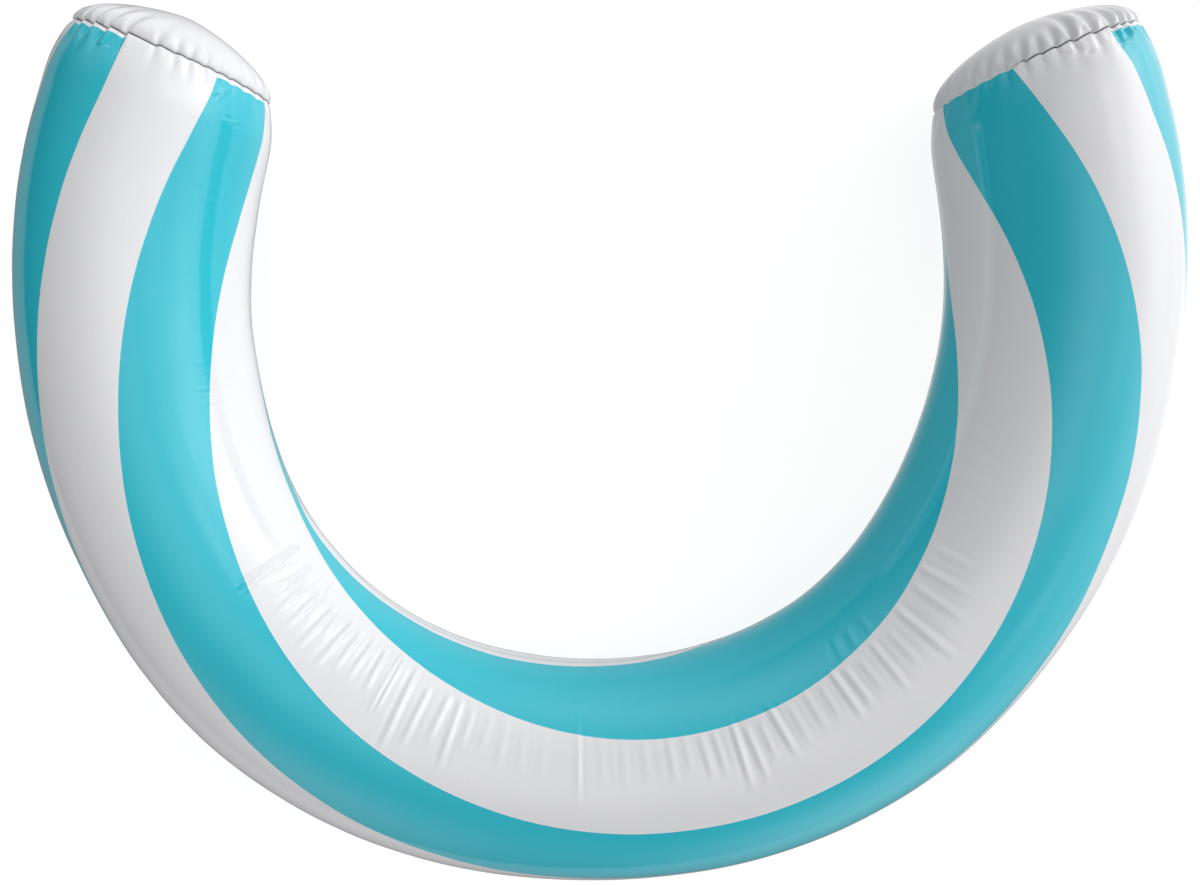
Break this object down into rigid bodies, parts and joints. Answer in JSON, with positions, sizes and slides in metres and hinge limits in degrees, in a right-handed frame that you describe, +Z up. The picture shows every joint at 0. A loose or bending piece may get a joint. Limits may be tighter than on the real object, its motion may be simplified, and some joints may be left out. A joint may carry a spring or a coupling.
{
  "type": "u-shaped pool float",
  "caption": "Inflatable U-shaped swimming float: a fat striped vinyl tube with domed welded end caps and a push-in inflation valve.",
  "frame": {"origin": "centre of the float's box, on the surface it lies on", "axes": "+Z up with the float lying flat, +Y out of the open end of the U, +X towards the arm that carries the valve"},
  "size_m": [1.1202, 0.856, 0.2138],
  "materials": {
    "printed_vinyl": "gloss",
    "white_vinyl": "gloss",
    "valve_vinyl": "satin"
  },
  "bodies": {
    "float": {"front_skin": "printed_vinyl", "back_skin": "printed_vinyl", "left_end_cap": "white_vinyl", "right_end_cap": "white_vinyl", "valve_flange": "valve_vinyl"},
    "stem": {"valve_stem": "valve_vinyl", "valve_strap": "valve_vinyl"},
    "plug": {"valve_plug": "valve_vinyl"},
    "flap": {"valve_flap": "valve_vinyl"}
  },
  "joints": [
    {"name": "stem_pull", "type": "slide", "parent": "float", "child": "stem", "axis": [0.8476, -0.1777, -0.5], "range_m": [0, 0.012]},
    {"name": "plug_pull", "type": "slide", "parent": "stem", "child": "plug", "axis": [0.8476, -0.1777, -0.5], "range_m": [0, 0.012], "deforming": ["valve_strap"]},
    {"name": "flap_swing", "type": "hinge", "parent": "stem", "child": "flap", "pos_m": [0.50733, 0.03212, 0.0668], "axis": [0.4894, -0.1026, 0.866], "range_deg": [0, 60], "stiffness_Nm_per_rad": 0.0002}
  ]
}
